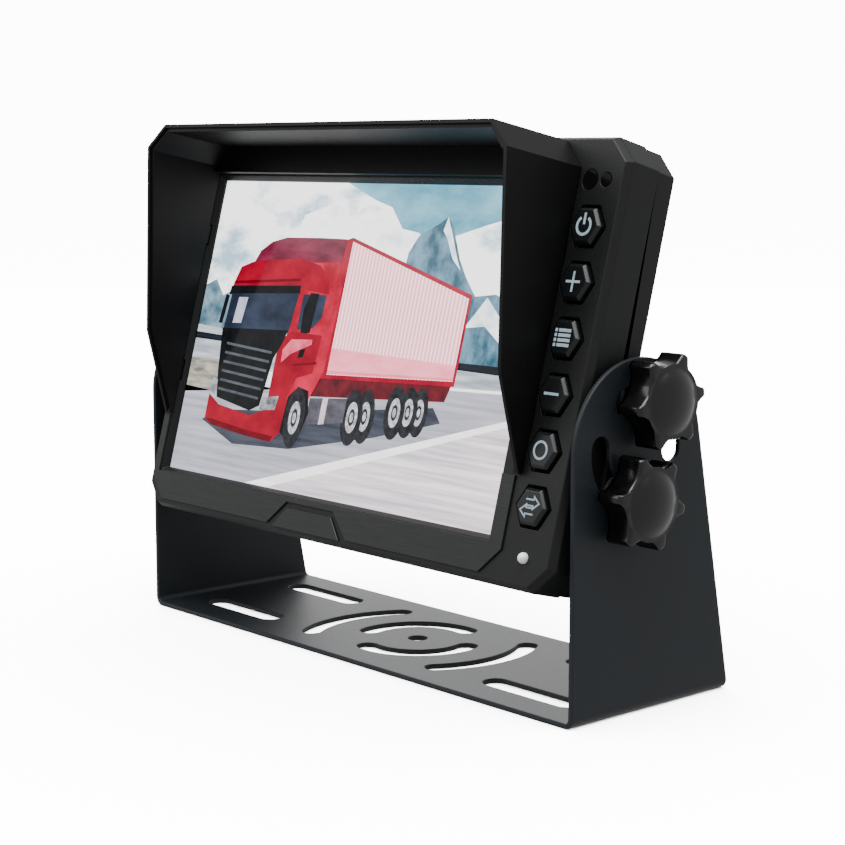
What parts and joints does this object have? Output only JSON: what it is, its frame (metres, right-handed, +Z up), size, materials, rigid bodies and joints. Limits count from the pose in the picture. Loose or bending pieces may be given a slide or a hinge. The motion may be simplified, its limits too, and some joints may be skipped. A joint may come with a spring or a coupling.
{
  "type": "backup camera monitor",
  "caption": "Hooded vehicle monitor with a key column, held between the ears of a U bracket by star knobs in arc slots.",
  "frame": {"origin": "centre of the base hole, on the underside of the bracket's base", "axes": "+Z up, +Y towards the back of the monitor, +X to the right as seen from the front"},
  "size_m": [0.2136, 0.0688, 0.1559],
  "materials": {
    "powder_coat": "fine satin black powder coat on bent steel sheet",
    "case_plastic": "finely textured charcoal ABS",
    "hood_plastic": "matte black ABS",
    "brushed_black": "black anodised strip, brushed level",
    "key_plastic": "satin black keys",
    "knob_plastic": "satin black moulded knobs",
    "stud_steel": "zinc-plated steel",
    "insert_brass": "turned brass",
    "rubber_black": "black rubber",
    "screen": "glossy display surface",
    "window_dark": "smoked acrylic",
    "led_clear": "milky clear epoxy",
    "pcb": "green solder mask",
    "component": "moulded electronic parts",
    "display_metal": "stamped steel tray",
    "display_white": "light guide and reflector",
    "flex": "polyimide film"
  },
  "bodies": {
    "bracket": {"u_bracket": "powder_coat"},
    "monitor": {"front_bezel": "case_plastic", "case_seal": "rubber_black", "rear_cover": "case_plastic", "brushed_trim": "brushed_black", "badge_plate": "case_plastic", "screen_glass": "screen", "lcd_panel": "window_dark", "backlight_unit": "display_white", "lcd_frame": "display_metal", "main_board": "pcb", "board_components": "component", "board_screws": "stud_steel", "lcd_ribbon": "flex", "key_cable": "flex", "key_board": "pcb", "tact_switches": "component", "sensor_window": "window_dark", "receiver_window": "window_dark", "light_sensor": "component", "remote_receiver": "component", "status_led": "led_clear", "speaker": "component", "cable_grommet": "rubber_black", "case_screws": "stud_steel", "knob_inserts": "insert_brass", "friction_pads": "rubber_black", "knob_washers": "stud_steel"},
    "sunshade": {"sunshade": "hood_plastic"},
    "key_power": {"key_power": "key_plastic"},
    "key_plus": {"key_plus": "key_plastic"},
    "key_menu": {"key_menu": "key_plastic"},
    "key_minus": {"key_minus": "key_plastic"},
    "key_select": {"key_select": "key_plastic"},
    "key_swap": {"key_swap": "key_plastic"},
    "knob_right_upper": {"knob_right_upper": "knob_plastic", "stud_right_upper": "stud_steel"},
    "knob_right_lower": {"knob_right_lower": "knob_plastic", "stud_right_lower": "stud_steel"},
    "knob_left_upper": {"knob_left_upper": "knob_plastic", "stud_left_upper": "stud_steel"},
    "knob_left_lower": {"knob_left_lower": "knob_plastic", "stud_left_lower": "stud_steel"}
  },
  "joints": [
    {"name": "monitor_tilt", "type": "hinge", "parent": "bracket", "child": "monitor", "pos_m": [0, -0.008, 0.071], "axis": [-1, 0, 0], "range_deg": [-34, 80]},
    {"name": "sunshade_pull", "type": "slide", "parent": "monitor", "child": "sunshade", "axis": [0, -0.9668, 0.2554], "range_m": [0, 0.012]},
    {"name": "press_power", "type": "slide", "parent": "monitor", "child": "key_power", "axis": [0, 0.9668, -0.2554], "range_m": [0, 0.0005], "stiffness_N_per_m": 1000, "springref_m": -0.0005},
    {"name": "press_plus", "type": "slide", "parent": "monitor", "child": "key_plus", "axis": [0, 0.9668, -0.2554], "range_m": [0, 0.0005], "stiffness_N_per_m": 1000, "springref_m": -0.0005},
    {"name": "press_menu", "type": "slide", "parent": "monitor", "child": "key_menu", "axis": [0, 0.9668, -0.2554], "range_m": [0, 0.0005], "stiffness_N_per_m": 1000, "springref_m": -0.0005},
    {"name": "press_minus", "type": "slide", "parent": "monitor", "child": "key_minus", "axis": [0, 0.9668, -0.2554], "range_m": [0, 0.0005], "stiffness_N_per_m": 1000, "springref_m": -0.0005},
    {"name": "press_select", "type": "slide", "parent": "monitor", "child": "key_select", "axis": [0, 0.9668, -0.2554], "range_m": [0, 0.0005], "stiffness_N_per_m": 1000, "springref_m": -0.0005},
    {"name": "press_swap", "type": "slide", "parent": "monitor", "child": "key_swap", "axis": [0, 0.9668, -0.2554], "range_m": [0, 0.0005], "stiffness_N_per_m": 1000, "springref_m": -0.0005},
    {"name": "turn_right_upper", "type": "hinge", "parent": "monitor", "child": "knob_right_upper", "pos_m": [0.0966, -0.00458, 0.08396], "axis": [1, 0, 0], "continuous": true},
    {"name": "turn_right_lower", "type": "hinge", "parent": "monitor", "child": "knob_right_lower", "pos_m": [0.0966, -0.01142, 0.05804], "axis": [1, 0, 0], "continuous": true},
    {"name": "turn_left_upper", "type": "hinge", "parent": "monitor", "child": "knob_left_upper", "pos_m": [-0.0966, -0.00458, 0.08396], "axis": [-1, 0, 0], "continuous": true},
    {"name": "turn_left_lower", "type": "hinge", "parent": "monitor", "child": "knob_left_lower", "pos_m": [-0.0966, -0.01142, 0.05804], "axis": [-1, 0, 0], "continuous": true}
  ]
}
